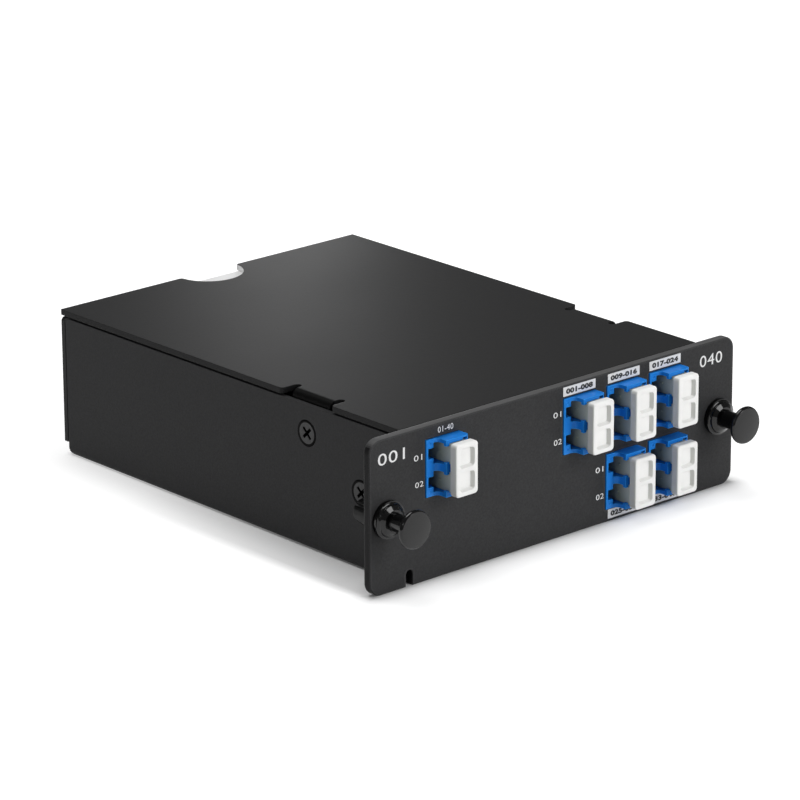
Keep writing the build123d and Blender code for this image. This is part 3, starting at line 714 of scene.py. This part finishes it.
def addStrips(settings):
    textSize = (settings["textWidth"], settings["textHeight"])
    stripFaceY = panelFaceY - settings["thickness"] * mm
    for number, (body, x, z) in enumerate(settings["places"], start=1):
        outline = plateOutline((x, z), (settings["width"], settings["height"]), settings["cornerR"])
        name = f"rangeStrip_{number}"
        addPiece(name, plateMesh(name, outline, panelFaceY, settings["thickness"]), stripFilm)
        name = f"rangeNumber_{number}"
        addPiece(name, textMesh(name, body, (x, z), textSize, stripFaceY, settings["weight"]), blackInk)


def addInk(settings):
    for name, body, x, z, width, height in settings["words"]:
        mesh = textMesh(name, body, (x, z), (width, height), panelFaceY, settings["weight"])
        addPiece(name, mesh, whiteInk)


addStrips(stripMarks)
addInk(inkMarks)
print("panel marks added")

# floor, lamps and world
studio = {
    "floorSize": 40.0,
    "floorShade": 0.8,
    "worldLight": 0.16,
    # name, place, width, power, point that it faces
    "lamps": [("frontLamp", (0.55, -1.5, 0.9), 0.9, 13.0, (0, 0, 0.015)),
              ("lowLamp", (0.35, -1.5, 0.14), 0.4, 4.6, (0, 0, 0.015)),
              ("topLamp", (-0.1, 0.35, 1.5), 1.0, 13.0, (0, 0, 0.015)),
              ("leftLamp", (-1.2, -0.5, 0.7), 0.14, 1.7, (0, 0, 0.015)),
              ("backLamp", (0.219, 0.295, 0.061), 0.05, 0.079, (0, 0.05, 0.034))],
}
# the floor's own glow, seen by the camera and in reflections, with a painted shadow: it is lower where the
# module shades it
floorGlowAndShadow = {
    "away": 0.55,
    "atRear": 0.44,                # beside the box, at its rear, falling to none at the panel
    "sideReach": 0.016,            # out from the box's sides to the full glow
    "frontReach": 0.0026,          # how fast it comes back in front of the panel
    "panelEnd": 0.01,              # panel beyond each side of the box
    "pocketShade": 0.85,           # share lost in the pocket behind a panel's end
    "pocketDepth": 0.012,          # behind the panel's face, fully shaded
    "pocketEndY": 0.03,            # where that shade is gone
    "pocketRim": (0.001, 0.002),   # inside and outside the panel's end
    "frontBand": (0.002, 0.001),   # behind and ahead of the face, where side and front glow change over
    "lineHalfY": 0.001,            # half the thickness of the panel's foot
}


def sideGlowAndShadow(tree, spot, halfWidth, glow):
    # painted shadow beside the box: the glow rises slowly away from the box's sides, and starts lower towards
    # the panel
    foot = placeGroup(tree, awayFromFoot, Half_X=halfWidth - glow["panelEnd"],
                      Middle_Y=(panelFaceY + cadBox[1].y) / 2, Half_Y=(cadBox[1].y - panelFaceY) / 2)
    atFoot = addRange(tree, spot["Y"], panelFaceY, cadBox[1].y, 0.0, glow["atRear"])
    climb = addRange(tree, foot["Distance"], 0.0, glow["sideReach"], 0.0, 1.0)
    climb.node.interpolation_type = "SMOOTHSTEP"
    left = addMath(tree, "SUBTRACT", glow["away"], atFoot)
    return addMath(tree, "ADD", atFoot, addMath(tree, "MULTIPLY", climb, left))


def pocketShadow(tree, spot, halfWidth, glow):
    # painted shadow: the share of glow that is lost right behind the panel's ends
    near = addRange(tree, spot["Y"], panelFaceY + glow["pocketDepth"], glow["pocketEndY"], 1.0, 0.0)
    fromMiddle = addMath(tree, "ABSOLUTE", spot["X"])
    inner, outer = glow["pocketRim"]
    under = addRange(tree, fromMiddle, halfWidth - inner, halfWidth + outer, glow["pocketShade"], 0.0)
    return addMath(tree, "MULTIPLY", near, under)


def frontGlowAndShadow(tree, halfWidth, glow):
    # painted contact shadow in front of the panel: there the glow rises fast
    line = placeGroup(tree, awayFromFoot, Half_X=halfWidth, Middle_Y=panelFaceY + glow["lineHalfY"],
                      Half_Y=glow["lineHalfY"])
    decay = addMath(tree, "EXPONENT", addMath(tree, "DIVIDE", line["Distance"], -glow["frontReach"]))
    return addMath(tree, "MULTIPLY", addMath(tree, "SUBTRACT", 1.0, decay), glow["away"])


def floorMaterial(shade, glow):
    material, tree, shader = startMaterial("floorPaper")
    tree.nodes.remove(shader)
    halfWidth = (cadBox[1].x - cadBox[0].x) / 2
    spot = placeParts(tree)
    side = sideGlowAndShadow(tree, spot, halfWidth, glow)
    lost = addMath(tree, "MULTIPLY", side, pocketShadow(tree, spot, halfWidth, glow))
    side = addMath(tree, "SUBTRACT", side, lost)
    behind, ahead = glow["frontBand"]
    inFront = addRange(tree, spot["Y"], panelFaceY + behind, panelFaceY - ahead, 0.0, 1.0)
    beside = addMath(tree, "MAXIMUM", side, inFront)
    rise = addMath(tree, "MINIMUM", beside, frontGlowAndShadow(tree, halfWidth, glow))
    path = addNode(tree, "ShaderNodeLightPath").outputs
    seen = addMath(tree, "ADD", path["Is Camera Ray"], path["Is Glossy Ray"])
    seen = addMath(tree, "ADD", seen, path["Is Transmission Ray"], clamp=True)
    diffuse = addNode(tree, "ShaderNodeBsdfDiffuse")
    diffuse.inputs["Color"].default_value = (shade, shade, shade, 1)
    light = addNode(tree, "ShaderNodeEmission")
    feed(tree, light.inputs["Strength"], addMath(tree, "MULTIPLY", seen, rise))
    both = addNode(tree, "ShaderNodeAddShader")
    feed(tree, both.inputs[0], diffuse.outputs[0])
    feed(tree, both.inputs[1], light.outputs[0])
    feed(tree, tree.nodes["Material Output"].inputs["Surface"], both.outputs[0])
    return material


def addFloor(settings, glow):
    half = settings["floorSize"] / 2
    corners = [(-half, -half, 0), (half, -half, 0), (half, half, 0), (-half, half, 0)]
    mesh = bpy.data.meshes.new("floor")
    mesh.from_pydata(corners, [], [(0, 1, 2, 3)])
    mesh.materials.append(floorMaterial(settings["floorShade"], glow))
    floor = bpy.data.objects.new("floor", mesh)
    bpy.context.scene.collection.objects.link(floor)


def addLamps(lamps):
    for name, place, size, power, aim in lamps:
        data = bpy.data.lights.new(name, "AREA")
        data.shape = "DISK"
        data.size = size
        data.energy = power
        lamp = bpy.data.objects.new(name, data)
        lamp.location = place
        lamp.rotation_mode = "QUATERNION"
        lamp.rotation_quaternion = (Vector(aim) - Vector(place)).to_track_quat("-Z", "Y")
        lamp.visible_camera = False
        bpy.context.scene.collection.objects.link(lamp)


def addWorld(strength):
    world = bpy.data.worlds.new("softRoom")
    bpy.context.scene.world = world
    world.use_nodes = True
    back = world.node_tree.nodes["Background"]
    back.inputs["Color"].default_value = (1, 1, 1, 1)
    back.inputs["Strength"].default_value = strength


addFloor(studio, floorGlowAndShadow)
addLamps(studio["lamps"])
addWorld(studio["worldLight"])
bpy.context.scene.view_settings.view_transform = "Standard"
print("studio ready")
